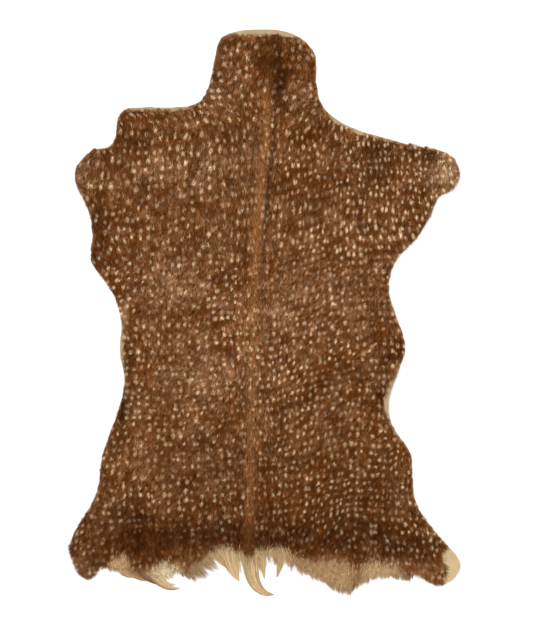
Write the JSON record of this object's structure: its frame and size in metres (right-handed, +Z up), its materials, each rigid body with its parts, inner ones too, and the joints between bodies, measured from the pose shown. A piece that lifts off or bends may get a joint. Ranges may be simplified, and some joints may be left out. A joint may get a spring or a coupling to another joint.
{
  "type": "goatskin rug",
  "caption": "Whole hair-on goatskin rug with its neck and leg flaps, short spotted brown hair and a band of long blond hair at the rear edge, lying flat.",
  "frame": {"origin": "on the floor, under the middle of the rug's bounding box", "axes": "+Y towards the neck, +X to the right as the picture shows it, +Z up"},
  "size_m": [0.644, 0.934, 0.0076],
  "materials": {
    "spotted_coat": "short glossy brown hair with small fawn spots",
    "blond_hair": "long soft blond hair in locks",
    "bare_leather": "cream tanned leather, matt suede below"
  },
  "bodies": {
    "root": {"hide": "spotted_coat", "left_hem_hair": "blond_hair", "tail_hair": "blond_hair", "right_hem_hair": "blond_hair"}
  },
  "joints": []
}
